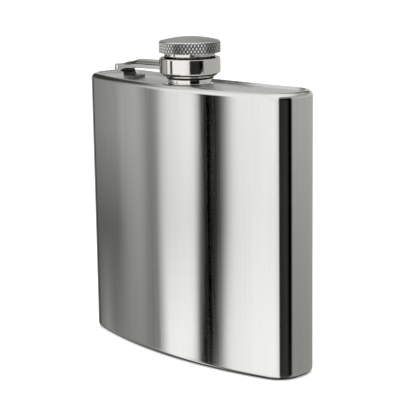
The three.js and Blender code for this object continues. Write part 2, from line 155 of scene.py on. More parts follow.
body_low, body_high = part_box("front_shell")
HALF_WIDTH = body_high.x
FRONT_MIDDLE = body_low.y
BODY_TOP = body_high.z
PLATE_LOW, PLATE_TOP = (corner.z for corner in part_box("top_plate"))
spout_low, spout_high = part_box("spout")
AXIS_Y = (spout_low.y + spout_high.y) / 2
collar_low, collar_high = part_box("collar_body")
cap_low, cap_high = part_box("cap_head")
insert_low, insert_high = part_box("threaded_insert")
NECK = insert_high.x
HUB_BORE = NECK + HUB_FIT
HUB = HUB_BORE + HUB_WALL
ring_low, ring_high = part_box("retaining_ring")
cover_low, cover_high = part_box("collar_cover")
gasket_low, gasket_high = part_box("cap_gasket")
bracket_low, bracket_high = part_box("hinge_bracket")
pin_low, pin_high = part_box("hinge_pin")
PIVOT = (pin_low + pin_high) / 2


# ---- Meshes -----------------------------------------------------------------------------


def make_object(name, vertices, faces, sharp=32):
    """A smooth-shaded mesh object whose edges sharper than the angle stay crisp."""
    mesh = bpy.data.meshes.new(name)
    mesh.from_pydata([tuple(v) for v in vertices], [], faces)
    mesh.validate()
    mesh.polygons.foreach_set("use_smooth", [True] * len(mesh.polygons))
    mesh.set_sharp_from_angle(angle=math.radians(sharp))
    mesh.update()
    piece = bpy.data.objects.new(name, mesh)
    bpy.context.scene.collection.objects.link(piece)
    return piece


def steps(count, low, high):
    """The ends and the evenly spaced values between them."""
    return [low + (high - low) * i / count for i in range(count + 1)]


def arc(cx, cy, radius, start, end, count):
    """Points of an arc with both ends; angles in radians."""
    return [(cx + radius * math.cos(a), cy + radius * math.sin(a)) for a in steps(count, start, end)]


def rounded(outline, radius):
    """The closed outline with each corner replaced by an arc."""
    points = [Vector(p) for p in outline]
    result = []
    count = len(points)
    for i, corner in enumerate(points):
        before = points[i - 1] - corner
        after = points[(i + 1) % count] - corner
        opening = before.angle(after)
        if opening > NEARLY_STRAIGHT:
            result.append(tuple(corner))
            continue
        half = opening / 2
        room = 0.45 * min(before.length, after.length)
        reach = min(radius / math.tan(half), room)
        size = reach * math.tan(half)
        centre = corner + (before.normalized() + after.normalized()).normalized() * (
            size / math.sin(half)
        )
        first = corner + before.normalized() * reach
        last = corner + after.normalized() * reach
        start = math.atan2(first.y - centre.y, first.x - centre.x)
        turn = math.atan2(last.y - centre.y, last.x - centre.x) - start
        turn = (turn + math.pi) % TAU - math.pi
        result += arc(centre.x, centre.y, size, start, start + turn, 4)
    return result


def solid_loft(name, rings, sharp=32, loop=False):
    """Rings of points joined one to the next; the ends are capped, or joined if loop."""
    count = len(rings[0])
    vertices = [p for ring in rings for p in ring]
    faces = []
    for i in range(len(rings) if loop else len(rings) - 1):
        low, high = i * count, ((i + 1) % len(rings)) * count
        for j in range(count):
            k = (j + 1) % count
            faces.append((low + j, low + k, high + k, high + j))
    if not loop:
        faces.append(tuple(reversed(range(count))))
        faces.append(tuple(range(len(vertices) - count, len(vertices))))
    piece = make_object(name, vertices, faces, sharp)
    face_out(piece)
    return piece


def face_out(piece):
    """Turns the mesh's faces outwards."""
    work = bmesh.new()
    work.from_mesh(piece.data)
    bmesh.ops.recalc_face_normals(work, faces=work.faces)
    work.to_mesh(piece.data)
    work.free()


def turned(name, profile, segments=128, sharp=32):
    """A closed [radius, z] profile turned about the spout's axis. Points on the axis merge."""
    count = len(profile)
    vertices, faces, index = [], [], {}
    for i in range(segments):
        angle = TAU * i / segments
        for j, (radius, z) in enumerate(profile):
            if radius < ON_AXIS:
                if ("axis", j) not in index:
                    index["axis", j] = len(vertices)
                    vertices.append((0, AXIS_Y, z))
                index[i, j] = index["axis", j]
                continue
            index[i, j] = len(vertices)
            vertices.append(
                (radius * math.cos(angle), AXIS_Y + radius * math.sin(angle), z)
            )
    for i in range(segments):
        for j in range(count):
            k, n = (j + 1) % count, (i + 1) % segments
            corners = [index[i, j], index[n, j], index[n, k], index[i, k]]
            corners = list(dict.fromkeys(corners))
            if len(corners) > 2:
                faces.append(corners)
    piece = make_object(name, vertices, faces, sharp)
    face_out(piece)
    return piece


def place(piece, body, slot, material, *nodes):
    """Gives the piece its material and body, and hides the CAD nodes that it replaces. The slot is not
    used.
    """
    piece.data.materials.clear()
    piece.data.materials.append(material)
    smooth = piece.modifiers.new("weighted_normals", "WEIGHTED_NORMAL")
    smooth.keep_sharp = True
    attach(piece, body)
    if nodes:
        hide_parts(*nodes)
    return piece


# ---- Materials --------------------------------------------------------------------------


class Nodes:
    """Short names for making a material's nodes."""

    def __init__(self, tree):
        self.tree = tree

    def add(self, kind, settings=None, **inputs):
        """A node with its inputs linked or set, by name or as i0, i1 and so on."""
        node = self.tree.nodes.new(kind)
        for key, value in (settings or {}).items():
            setattr(node, key, value)
        for key, value in inputs.items():
            socket = node.inputs[int(key[1:]) if key[1:].isdigit() else key.replace("_", " ")]
            if isinstance(value, bpy.types.NodeSocket):
                self.tree.links.new(value, socket)
            else:
                socket.default_value = value
        return node

    def ramp(self, factor, stops):
        """Blends linearly between (position, grey or colour) stops."""
        node = self.add("ShaderNodeValToRGB", i0=factor)
        ramp = node.color_ramp
        while len(ramp.elements) < len(stops):
            ramp.elements.new(1)
        for element, (at, value) in zip(ramp.elements, stops):
            element.position = at
            element.color = (*value, 1) if isinstance(value, tuple) else (value,) * 3 + (1,)
        return node.outputs["Color"]

    def span(self, value, low, high, to_low=0.0, to_high=1.0):
        """Maps low to high onto to_low to to_high, and goes no further at either end."""
        node = self.add("ShaderNodeMapRange", i0=value, i1=low, i2=high, i3=to_low, i4=to_high)
        return node.outputs[0]

    def maths(self, operation, first, second=0.0):
        settings = {"operation": operation}
        return self.add("ShaderNodeMath", settings, i0=first, i1=second).outputs[0]


def new_metal(name, colour, roughness):
    """A metal material, its nodes and its shader."""
    material = bpy.data.materials.new(name)
    material.use_nodes = True
    tree = material.node_tree
    shader = tree.nodes["Principled BSDF"]
    shader.inputs["Metallic"].default_value = 1
    shader.inputs["Base Color"].default_value = (*colour, 1)
    shader.inputs["Roughness"].default_value = roughness
    return material, Nodes(tree), shader


def object_point(nodes, scale):
    """The object's own coordinates, stretched by a scale for each axis."""
    at = nodes.add("ShaderNodeTexCoord").outputs["Object"]
    node = nodes.add("ShaderNodeMapping", Vector=at, Scale=scale)
    return node.outputs[0]


def noise(nodes, scale, detail=2.0, **inputs):
    """Noise with a number of grains to the metre along each axis."""
    point = object_point(nodes, scale)
    texture = nodes.add("ShaderNodeTexNoise", Vector=point, Scale=1.0, Detail=detail, **inputs)
    return texture.outputs["Fac"]


def paint(nodes, shader, tone):
    nodes.tree.links.new(tone, shader.inputs["Base Color"])


def roughen(nodes, shader, value, low, high, smooth, rough):
    """Roughness that runs from smooth to rough as the value runs from low to high."""
    nodes.tree.links.new(nodes.span(value, low, high, smooth, rough), shader.inputs["Roughness"])


def emboss(nodes, shader, height, strength, distance):
    bump = nodes.add("ShaderNodeBump", Height=height, Strength=strength, Distance=distance)
    nodes.tree.links.new(bump.outputs[0], shader.inputs["Normal"])


def shell_steel():
    """Steel brushed up and down: fine vertical streaks in tone, roughness and height."""
    material, nodes, shader = new_metal("shell_steel", (0.78, 0.78, 0.765), 0.08)
    fine = noise(nodes, (9000, 9000, 60))
    broad = noise(nodes, (900, 900, 9), 3.0)
    streaks = nodes.maths("ADD", fine, broad)
    tone = nodes.ramp(nodes.span(streaks, 0.7, 1.3), (
        (0, (0.745, 0.745, 0.73)), (1, (0.8, 0.8, 0.784))))
    # Painted contact shadow: the base colour darkens round the lower edge, where the flask is set down
    height = nodes.add("ShaderNodeSeparateXYZ", Vector=object_point(nodes, (1, 1, 1))).outputs["Z"]
    painted_shading = nodes.span(height, SHADE_LOW, SHADE_HIGH, 0.04, 1.0)
    multiply = {"data_type": "RGBA", "blend_type": "MULTIPLY"}
    shaded_tone = nodes.add("ShaderNodeMix", multiply, i0=1.0, i6=tone, i7=painted_shading)
    paint(nodes, shader, shaded_tone.outputs[2])
    roughen(nodes, shader, streaks, 0.7, 1.3, 0.05, 0.12)
    emboss(nodes, shader, fine, 0.03, 0.01 * MM)
    return material


def plate_steel():
    """Satin sheet with a fine grain along the width."""
    material, nodes, shader = new_metal("plate_steel", (0.78, 0.785, 0.78), 0.34)
    grain = noise(nodes, (120, 7000, 7000), 3.0)
    roughen(nodes, shader, grain, 0.3, 0.7, 0.28, 0.42)
    emboss(nodes, shader, grain, 0.08, 0.02 * MM)
    return material


def bright_steel():
    """Polished steel with faint handling marks."""
    material, nodes, shader = new_metal("bright_steel", (0.83, 0.815, 0.79), 0.08)
    marks = noise(nodes, (600, 600, 600), 5.0, Roughness=0.65)
    roughen(nodes, shader, marks, 0.35, 0.75, 0.05, 0.14)
    return material


def seam_shade():
    """Near-black painted shade for the dark lines in the collar's seams and the arm's crease."""
    material, nodes, shader = new_metal("seam_shade", (0.012, 0.012, 0.012), 0.6)
    shader.inputs["Metallic"].default_value = 0
    shader.inputs["Specular IOR Level"].default_value = 0.2
    grain = noise(nodes, (2500, 2500, 2500))
    roughen(nodes, shader, grain, 0.3, 0.7, 0.5, 0.8)
    return material


def hinge_steel():
    """Steel painted near-black as shade, brightened towards its foot by a painted highlight."""
    material, nodes, shader = new_metal("hinge_steel", (0.05, 0.05, 0.047), 0.35)
    at = nodes.add("ShaderNodeTexCoord").outputs["Object"]
    height = nodes.add("ShaderNodeSeparateXYZ", Vector=at).outputs["Z"]
    grain = noise(nodes, (1500, 1500, 1500), 4.0)
    # Painted shading: a painted highlight at the foot and painted black shade higher up, broken by
    # random grain
    painted_shading = nodes.span(height, bracket_low.z + STRAP_LIT, bracket_low.z + STRAP_SHADED, 1.0, 0.0)
    share = nodes.maths("MULTIPLY", painted_shading, nodes.span(grain, 0.35, 0.65, 0.6, 1.0))
    paint(nodes, shader, nodes.ramp(share, (
        (0, (0.03, 0.03, 0.028)), (0.6, (0.13, 0.13, 0.12)), (1, (0.3, 0.3, 0.28)))))
    roughen(nodes, shader, grain, 0.3, 0.7, 0.28, 0.42)
    return material


def spout_radius(nodes):
    """A point's coordinates and its distance from the spout's axis."""
    at = nodes.add("ShaderNodeTexCoord").outputs["Object"]
    parts = nodes.add("ShaderNodeSeparateXYZ", Vector=at).outputs
    x, y = parts["X"], nodes.maths("SUBTRACT", parts["Y"], AXIS_Y)
    square = nodes.maths("ADD", nodes.maths("MULTIPLY", x, x), nodes.maths("MULTIPLY", y, y))
    return parts, nodes.maths("SQRT", square)


def cap_steel():
    """The cap's satin top, turned in fine rings about the spout's axis."""
    material, nodes, shader = new_metal("cap_steel", (0.5, 0.5, 0.485), 0.3)
    at, radius = spout_radius(nodes)
    across = nodes.add("ShaderNodeCombineXYZ", X=nodes.maths("MULTIPLY", radius, 6000.0),
                       Y=nodes.maths("MULTIPLY", at["X"], 20.0))
    texture = nodes.add("ShaderNodeTexNoise", Vector=across.outputs[0], Scale=1.0, Detail=2.0)
    rings = texture.outputs["Fac"]
    roughen(nodes, shader, rings, 0.3, 0.7, 0.3, 0.45)
    emboss(nodes, shader, rings, 0.12, 0.03 * MM)
    return material


def knurl_steel():
    """The cap's grip: bright steel on the diamonds' points, with painted shade darkening the cuts
    between them.
    """
    material, nodes, shader = new_metal("knurl_steel", (0.7, 0.7, 0.68), 0.14)
    at, radius = spout_radius(nodes)
    edge = cap_high.z - CAP_DOME
    below = nodes.maths("SUBTRACT", edge - CAP_HEIGHT + CAP_UNDEREDGE, at["Z"])
    above = nodes.maths("ADD", at["Z"], CAP_EDGE - edge)
    chamfer = nodes.maths("MAXIMUM", nodes.maths("MAXIMUM", below, above), 0.0)
    level = nodes.maths("ADD", radius, chamfer)
    share = nodes.span(level, cap_high.x - 0.9 * KNURL_DEPTH, cap_high.x - 0.15 * KNURL_DEPTH)
    # Painted shade: the deeper into a cut, the darker the base colour
    paint(nodes, shader, nodes.ramp(share, (
        (0, (0.12, 0.12, 0.11)), (0.45, (0.42, 0.42, 0.405)), (1, (0.84, 0.84, 0.82)))))
    roughen(nodes, shader, share, 0.0, 1.0, 0.3, 0.12)
    return material


def seal_rubber():
    """Matt silicone."""
    material, nodes, shader = new_metal("seal", (0.82, 0.8, 0.74), 0.55)
    shader.inputs["Metallic"].default_value = 0
    emboss(nodes, shader, noise(nodes, (2500, 2500, 2500), 3.0), 0.1, 0.03 * MM)
    return material


STEEL_SHELL = shell_steel()
STEEL_PLATE = plate_steel()
STEEL_BRIGHT = bright_steel()
STEEL_HINGE = hinge_steel()
SEAM_SHADE = seam_shade()
STEEL_CAP = cap_steel()
STEEL_KNURL = knurl_steel()
SEAL = seal_rubber()

# ---- Body -------------------------------------------------------------------------------

FRONT_RADIUS = (HALF_WIDTH**2 + FRONT_BULGE**2) / (2 * FRONT_BULGE)
BACK_RADIUS = (HALF_WIDTH**2 + BACK_HOLLOW**2) / (2 * BACK_HOLLOW)
BACK_MIDDLE = FRONT_MIDDLE + END_DEPTH + FRONT_BULGE - BACK_HOLLOW
CORNER_X = HALF_WIDTH - CORNER
FRONT_TILT = math.asin(CORNER_X / (FRONT_RADIUS - CORNER))
BACK_TILT = math.asin(CORNER_X / (BACK_RADIUS + CORNER))
FRONT_CORNER_Y = FRONT_MIDDLE + FRONT_RADIUS - (FRONT_RADIUS - CORNER) * math.cos(FRONT_TILT)
BACK_CORNER_Y = BACK_MIDDLE + BACK_RADIUS - (BACK_RADIUS + CORNER) * math.cos(BACK_TILT)
SEAM_Y = (FRONT_CORNER_Y + BACK_CORNER_Y) / 2


def front_half():
    """From the middle of the front to the right seam, as (point, outward normal)."""
    outline = []
    for angle in steps(48, 0, FRONT_TILT):
        normal = Vector((math.sin(angle), -math.cos(angle)))
        centre = Vector((0, FRONT_MIDDLE + FRONT_RADIUS))
        outline.append((centre + FRONT_RADIUS * normal, normal))
    for angle in steps(24, FRONT_TILT, QUARTER)[1:]:
        normal = Vector((math.sin(angle), -math.cos(angle)))
        outline.append((Vector((CORNER_X, FRONT_CORNER_Y)) + CORNER * normal, normal))
    end = Vector((1, 0))
    for y in steps(3, FRONT_CORNER_Y, SEAM_Y)[1:]:
        outline.append((Vector((HALF_WIDTH, y)), end))
    return outline


def back_half():
    """From the right seam to the middle of the back."""
    end = Vector((1, 0))
    outline = [(Vector((HALF_WIDTH, y)), end) for y in steps(3, SEAM_Y, BACK_CORNER_Y)]
    for angle in steps(28, 0, QUARTER + BACK_TILT)[1:]:
        normal = Vector((math.cos(angle), math.sin(angle)))
        outline.append((Vector((CORNER_X, BACK_CORNER_Y)) + CORNER * normal, normal))
    for angle in steps(36, BACK_TILT, 0)[1:]:
        normal = Vector((-math.sin(angle), math.cos(angle)))
        centre = Vector((0, BACK_MIDDLE + BACK_RADIUS))
        outline.append((centre - BACK_RADIUS * normal, normal))
    return outline


def mirrored(outline):
    """The outline's mirror image across the middle, in reverse order."""
    flip = Vector((-1, 1))
    return [(point * flip, normal * flip) for point, normal in reversed(outline)]


FRONT_OUTLINE = mirrored(front_half()) + front_half()[1:]
BACK_OUTLINE = back_half() + mirrored(back_half())[1:]
WHOLE_OUTLINE = FRONT_OUTLINE + BACK_OUTLINE[1:-1]


def wall_section():
    """The wall's (inset, z) section, with rolled edges at the top and the bottom."""
    up = BODY_TOP - EDGE
    lip = 0.15 * MM
    rows = steps(8, EDGE, up)[1:-1]
    inner = EDGE - WALL
    return [
        *arc(EDGE, EDGE, EDGE, 3 * QUARTER, 2 * QUARTER, 10),
        (0, EDGE + 0.4 * MM),
        *[(0, z) for z in rows],
        (0, up - 0.4 * MM),
        *arc(EDGE, up, EDGE, 2 * QUARTER, QUARTER, 10),
        *arc(RIM - lip, BODY_TOP - lip, lip, QUARTER, 0, 4),
        (RIM, BODY_TOP - WALL),
        *arc(EDGE, up, inner, QUARTER, 2 * QUARTER, 6),
        *[(WALL, z) for z in reversed(rows)],
        *arc(EDGE, EDGE, inner, 2 * QUARTER, 3 * QUARTER, 6),
        (RIM, WALL),
        *arc(RIM - lip, lip, lip, 0, -QUARTER, 4),
    ]


def outline_ring(section, outline, name, loop):
    """An (inset, z) section carried along the outline."""
    rings = []
    for point, normal in outline:
        rings.append([(*(point - normal * depth), z) for depth, z in section])
    return solid_loft(name, rings, loop=loop)


def plate(name, margin, low, high, hole):
    """A flat plate inside the outline, with a round hole on the spout's axis if hole isn't 0."""
    lip = 0.12 * MM
    outer = [point - normal * margin for point, normal in WHOLE_OUTLINE]
    centre = Vector((0, AXIS_Y))
    rings = []
    for point in outer:
        out = (point - centre).normalized()
        rim = centre + out * hole
        ring = [(*rim, low), (*(point - out * lip), low), (*point, low + lip),
                (*point, high - lip), (*(point - out * lip), high), (*rim, high)]
        rings.append(ring)
    piece = solid_loft(name, rings, loop=True)
    if hole == 0:
        weld(piece)
    return piece


def weld(piece):
    """Merges vertices that share a place, drops the faces that vanish and turns the rest outwards."""
    work = bmesh.new()
    work.from_mesh(piece.data)
    bmesh.ops.remove_doubles(work, verts=work.verts, dist=SAME_PLACE)
    bmesh.ops.dissolve_degenerate(work, edges=work.edges, dist=SAME_PLACE / 10)
    bmesh.ops.recalc_face_normals(work, faces=work.faces)
    work.to_mesh(piece.data)
    work.free()


def bead(name, depth, z, radius):
    """A low weld bead that follows the outline at an inset."""
    section = [(depth + x, z + y) for x, y in arc(0, 0, radius, 0, TAU, 10)[:-1]]
    return outline_ring(section, WHOLE_OUTLINE, name, loop=True)


def build_body():
    """Two wall halves, the recessed top plate, the bottom plate and the weld beads round both."""
    section = wall_section()
    front = outline_ring(section, FRONT_OUTLINE, "front_wall", loop=False)
    place(front, "flask", "shell_steel", STEEL_SHELL, "front_shell")
    back = outline_ring(section, BACK_OUTLINE, "back_wall", loop=False)
    place(back, "flask", "shell_steel", STEEL_SHELL, "back_shell")
    top = plate("top_panel", RIM - TOP_LAP, PLATE_LOW, PLATE_TOP, NECK - SPOUT_PILOT + 0.1 * MM)
    joint = bead("top_weld", RIM, PLATE_TOP + 0.12 * MM, 0.3 * MM)
    place(joint, "flask", "plate_steel", STEEL_PLATE)
    place(top, "flask", "plate_steel", STEEL_PLATE, "top_plate")
    bottom_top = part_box("bottom_plate")[1].z
    bottom = plate("bottom_panel", RIM + WELD_GAP, 0, bottom_top, 0)
    place(bottom, "flask", "plate_steel", STEEL_PLATE, "bottom_plate")
    seam = bead("bottom_weld", RIM + WELD_GAP / 2, 0.35 * MM, 0.22 * MM)
    place(seam, "flask", "plate_steel", STEEL_PLATE)


# ---- Camera, floor and light ------------------------------------------------------------


def build_camera():
    """The camera stands where the photographer stood."""
    azimuth, pitch, roll = map(math.radians, (VIEW_AZIMUTH, VIEW_PITCH, VIEW_ROLL))
    back = Vector((math.sin(azimuth) * math.cos(pitch), -math.cos(azimuth) * math.cos(pitch),
                   math.sin(pitch)))
    right = Vector((0, 0, 1)).cross(back).normalized()
    up = back.cross(right)
    rolled_right = right * math.cos(roll) + up * math.sin(roll)
    rolled_up = up * math.cos(roll) - right * math.sin(roll)
    data = bpy.data.cameras.new("camera")
    data.lens = LENS
    data.sensor_width = SENSOR
    data.clip_start = 0.01
    camera = bpy.data.objects.new("camera", data)
    rows = Matrix((rolled_right, rolled_up, back)).transposed().to_4x4()
    camera.matrix_world = Matrix.Translation(VIEW_TARGET + back * VIEW_DISTANCE) @ rows
    bpy.context.scene.collection.objects.link(camera)
    bpy.context.scene.camera = camera


def build_floor():
    """A plain pale floor, which the steel doesn't mirror."""
    half = FLOOR_WIDTH / 2
    corners = [(-half, -half, 0), (half, -half, 0), (half, half, 0), (-half, half, 0)]
    floor = make_object("floor", corners, [(0, 1, 2, 3)])
    material = bpy.data.materials.new("floor")
    material.use_nodes = True
    shader = material.node_tree.nodes["Principled BSDF"]
    shader.inputs["Base Color"].default_value = (0.93, 0.93, 0.93, 1)
    shader.inputs["Roughness"].default_value = 0.9
    shader.inputs["Specular IOR Level"].default_value = 0.0
    shader.inputs["Emission Color"].default_value = (1, 1, 1, 1)
    shader.inputs["Emission Strength"].default_value = 0.45
    floor.data.materials.append(material)
    floor.visible_glossy = False


# The studio round the flask, level by level: the sine of the level's elevation, and soft panels
# as (degrees from the front towards +X, brightness)
STUDIO = (
    (-0.8, (
        (-180, 0.45), (-105, 0.4), (-88, 0.7), (-78, 0.7), (-72, 0.15), (-64, 0.15), (-56, 0.85),
        (-41, 0.9), (-37.5, 0.04), (-28, 0.04), (-22, 0.8), (43, 0.9), (52, 0.1), (92, 0.1),
        (101, 0.4), (180, 0.45),
    )),
    (-0.45, (
        (-180, 0.36), (-98, 0.34), (-84, 0.25), (-56, 0.25), (-50, 1.05), (-40, 1.1), (-37.5, 0.05),
        (-31.5, 0.03), (-26, 1.0), (43, 1.1), (49, 0.05), (94, 0.05), (101, 0.32), (180, 0.36),
    )),
    (-0.3, (
        (-180, 0.33), (-125, 0.3), (-98, 0.3), (-96, 0.03), (-86, 0.03), (-84, 0.16), (-78, 0.35),
        (-74, 0.2), (-66, 0.27), (-58, 0.3), (-53, 0.18), (-50, 0.28), (-48.6, 0.62), (-46.6, 1.1),
        (-36, 1.15), (-34.8, 0.8), (-33.9, 0.08), (-32.4, 0.0), (-28.2, 0.0), (-26.4, 0.2),
        (-23.4, 1.0), (-14, 1.12), (25, 1.15), (43, 0.95), (47, 0.02), (75, 0.04), (86, 0.0),
        (95, 0.0), (98, 0.14), (101, 0.3), (180, 0.33),
    )),
    (-0.22, (
        (-180, 0.4), (-125, 0.36), (-98, 0.36), (-96, 0.03), (-86, 0.03), (-84, 0.12), (-69, 0.14),
        (-66.5, 0.25), (-60, 0.36), (-57, 0.34), (-53, 0.19), (-50.3, 0.28), (-48.2, 0.66),
        (-46, 0.82), (-36, 0.92), (-34.3, 0.75), (-33.4, 0.08), (-31.9, 0.0), (-27.2, 0.0),
        (-25.2, 0.12), (-23.3, 0.62), (-21, 0.9), (-14, 1.0), (25, 1.0), (43, 0.85), (47, 0.02),
        (75, 0.04), (86, 0.0), (95, 0.0), (98, 0.14), (101, 0.36), (180, 0.4),
    )),
    (-0.15, (
        (-180, 0.48), (-125, 0.42), (-98, 0.42), (-96, 0.04), (-86, 0.04), (-84, 0.26), (-69, 0.34),
        (-66.8, 0.46), (-65, 0.42), (-60, 0.48), (-57, 0.42), (-53, 0.22), (-50.2, 0.3),
        (-48.0, 0.66), (-45.2, 0.88), (-36, 1.05), (-33.9, 0.85), (-33, 0.08), (-31.5, 0.0),
        (-27.2, 0.0), (-25.0, 0.12), (-23.0, 0.62), (-20.5, 1.0), (25, 1.1), (43, 0.85), (47, 0.02),
        (75, 0.04), (86, 0.0), (95, 0.0), (98, 0.14), (101, 0.44), (180, 0.48),
    )),
    (-0.04, (
        (-180, 0.5), (-125, 0.45), (-98, 0.42), (-96, 0.04), (-86, 0.04), (-84, 0.26), (-69, 0.34),
        (-60, 0.48), (-53, 0.25), (-50, 0.34), (-45, 0.95), (-34, 0.9), (-32.8, 0.05), (-31.5, 0.0),
        (-27, 0.0), (-24.5, 0.14), (-22.5, 0.7), (-20, 1.05), (43, 0.9), (47, 0.02), (95, 0.0),
        (100, 0.44), (180, 0.5),
    )),
    (0.17, (
        (-180, 0.7), (-128, 0.7), (-119, 0.32), (-104, 0.12), (-80, 0.12), (-66, 0.38), (-55, 0.6),
        (-45, 1.0), (42, 1.05), (47, 0.0), (94, 0.0), (99, 0.5), (180, 0.7),
    )),
    (0.27, (
        (-180, 0.6), (-137, 0.55), (-130, 0.5), (-123, 0.08), (-118, 0.02), (-80, 0.04), (-66, 0.3),
        (-55, 0.6), (-45, 1.0), (43, 1.05), (48, 0.1), (94, 0.1), (99, 0.5), (180, 0.6),
    )),
    (0.4, (
        (-180, 0.3), (-158, 0.1), (-142, 0.12), (-136, 0.5), (-125, 0.5), (-118, 0.04), (-80, 0.04),
        (-66, 0.35), (-55, 0.7), (-45, 1.0), (43, 1.05), (48, 0.2), (94, 0.2), (105, 0.5), (180, 0.3),
    )),
    (0.6, (
        (-180, 0.35), (-158, 0.15), (-143, 0.2), (-132, 0.6), (-117, 0.62), (-109, 0.06), (-78, 0.06),
        (-68, 0.3), (-57, 0.75), (-45, 1.0), (45, 1.0), (52, 0.3), (95, 0.3), (105, 0.5), (180, 0.35),
    )),
    (0.69, (
        (-180, 0.5), (-158, 0.3), (-143, 0.3), (-132, 0.6), (-110, 0.72), (-78, 0.7), (-57, 0.8),
        (-45, 1.0), (45, 1.0), (52, 0.5), (95, 0.5), (105, 0.6), (180, 0.5),
    )),
    (0.8, ((-180, 0.7), (-60, 0.8), (-45, 1.0), (45, 1.15), (60, 1.0), (180, 0.7))),
    (1.0, ((-180, 1.0), (180, 1.0))),
)


def build_world():
    """The studio's levels, blended by elevation."""
    world = bpy.data.worlds.new("studio")
    bpy.context.scene.world = world
    world.use_nodes = True
    nodes = Nodes(world.node_tree)
    background = world.node_tree.nodes["Background"]
    direction = nodes.add("ShaderNodeTexCoord").outputs["Generated"]
    parts = nodes.add("ShaderNodeSeparateXYZ", Vector=direction)
    forward = nodes.maths("MULTIPLY", parts.outputs["Y"], -1.0)
    azimuth = nodes.maths("ARCTAN2", parts.outputs["X"], forward)
    turn = nodes.span(azimuth, -math.pi, math.pi)
    level = None
    for height, panels in STUDIO:
        tone = nodes.ramp(turn, [((angle + 180) / 360, value) for angle, value in panels])
        if level is not None:
            share = nodes.span(parts.outputs["Z"], below, height)
            mix = nodes.add("ShaderNodeMix", {"data_type": "RGBA"}, i0=share, i6=level, i7=tone)
            tone = mix.outputs[2]
        level, below = tone, height
    # The studio's dim surfaces are a little warmer than its lamps
    tint = nodes.ramp(nodes.maths("MULTIPLY", level, 0.8), (
        (0, (0.0, 0.0, 0.0)), (0.12, (0.151, 0.152, 0.14)), (0.36, (0.452, 0.454, 0.435)),
        (0.72, (0.9, 0.9, 0.888)), (1, (1.25, 1.25, 1.245))))
    nodes.tree.links.new(tint, background.inputs["Color"])
    background.inputs["Strength"].default_value = 1.0


def build_lights():
    """A softbox overhead, which the steel doesn't mirror: the world gives the reflections."""
    data = bpy.data.lights.new("ceiling_softbox", "AREA")
    data.shape = "RECTANGLE"
    data.size, data.size_y = SOFTBOX_WIDTH, SOFTBOX_WIDTH
    data.energy = SOFTBOX_WATTS
    light = bpy.data.objects.new("ceiling_softbox", data)
    light.location = SOFTBOX_PLACE
    light.rotation_euler = (SOFTBOX_TILT, 0, 0)
    light.visible_glossy = False
    bpy.context.scene.collection.objects.link(light)


# ---- Spout ------------------------------------------------------------------------------


def merged(name, *pieces):
    """One object that holds the meshes of several, which stay as separate shells in it."""
    vertices, faces = [], []
    for piece in pieces:
        base = len(vertices)
        vertices += [tuple(v.co) for v in piece.data.vertices]
        faces += [tuple(base + i for i in face.vertices) for face in piece.data.polygons]
        bpy.data.objects.remove(piece)
    return make_object(name, vertices, faces)


def thread(name, root, crest, low, turns, inward=False):
    """A helical ridge whose ends sink into the wall."""
    side = -1 if inward else 1
    half = 0.42 * PITCH
    sunk = 0.12 * MM
    run_out = 0.1  # share of the length in which each end rises to full height
    rings = []
    for share in steps(72 * turns, 0, 1):
        fade = min(1, min(share, 1 - share) / run_out)
        angle = TAU * turns * share
        z = low + PITCH * turns * share
        height = (crest - root) * side * fade
        out = Vector((math.cos(angle), math.sin(angle), 0))
        centre = Vector((0, AXIS_Y, z))
        section = [(-sunk, -half), (0, -half)]
        section += [(height * math.cos(a), half * 0.85 * math.sin(a)) for a in
                    steps(8, -QUARTER * 0.8, QUARTER * 0.8)]
        section += [(0, half), (-sunk, half)]
        rings.append([centre + out * (root + side * x) + Vector((0, 0, y)) for x, y in section])
    return solid_loft(name, rings, sharp=60)


def build_spout():
    """A thin threaded tube on a wider neck with a flared foot."""
    foot = PLATE_TOP + 0.1 * MM
    shoulder = insert_low.z - SHOULDER_GAP
    bottom, mouth = spout_low.z, spout_high.z
    root = SPOUT_BORE + SPOUT_WALL
    pilot = NECK - SPOUT_PILOT
    brim = foot + 0.12 * MM
    flare = [(NECK + SPOUT_FLARE * (1 - math.sin(a)), brim + SPOUT_FLARE_HEIGHT * (1 - math.cos(a)))
             for a in steps(8, 0, QUARTER)]
    outline = [
        (SPOUT_BORE, bottom), (pilot, bottom), (pilot, foot), (NECK + SPOUT_FLARE, foot),
        *flare, (NECK, shoulder - 0.3 * MM), (NECK - 0.1 * MM, shoulder - 0.08 * MM),
        (NECK - 0.3 * MM, shoulder), (root + 0.15 * MM, shoulder), (root, shoulder + 0.15 * MM),
        (root, mouth - 0.25 * MM), (root - 0.08 * MM, mouth - 0.07 * MM), (root - 0.2 * MM, mouth),
        (SPOUT_BORE + 0.12 * MM, mouth), (SPOUT_BORE, mouth - 0.12 * MM),
    ]
    body = turned("spout_body", outline, 160)
    low = shoulder + (mouth - shoulder - THREAD_TURNS * PITCH) / 2
    ridge = thread("spout_ridge", root, root + THREAD, low, THREAD_TURNS)
    place(merged("spout_neck", body, ridge), "flask", "bright_steel", STEEL_BRIGHT, "spout")


# ---- Hinge ------------------------------------------------------------------------------


def strip(name, path, middle_y, edge):
    """A bent strip. Each path entry is (x, z, half thickness, half width) in the XZ plane."""
    rings = []
    last = len(path) - 1
    for i, (x, z, half, width) in enumerate(path):
        before, after = path[max(0, i - 1)], path[min(last, i + 1)]
        along = Vector((after[0] - before[0], after[1] - before[1])).normalized()
        across = Vector((-along.y, along.x))
        ring = []
        for corner, (cx, cy) in enumerate(((1, 1), (-1, 1), (-1, -1), (1, -1))):
            start = corner * QUARTER
            for px, py in arc(cx * (width - edge), cy * (half - edge), edge, start, start + QUARTER, 3):
                point = Vector((x, z)) + across * py
                ring.append((point.x, middle_y + px, point.y))
        rings.append(ring)
    return solid_loft(name, rings, sharp=40)


def bend(centre, radius, start, end, half, width, count=8):
    """Path entries for strip, round an arc."""
    return [(*point, half, width) for point in arc(*centre, radius, start, end, count)]


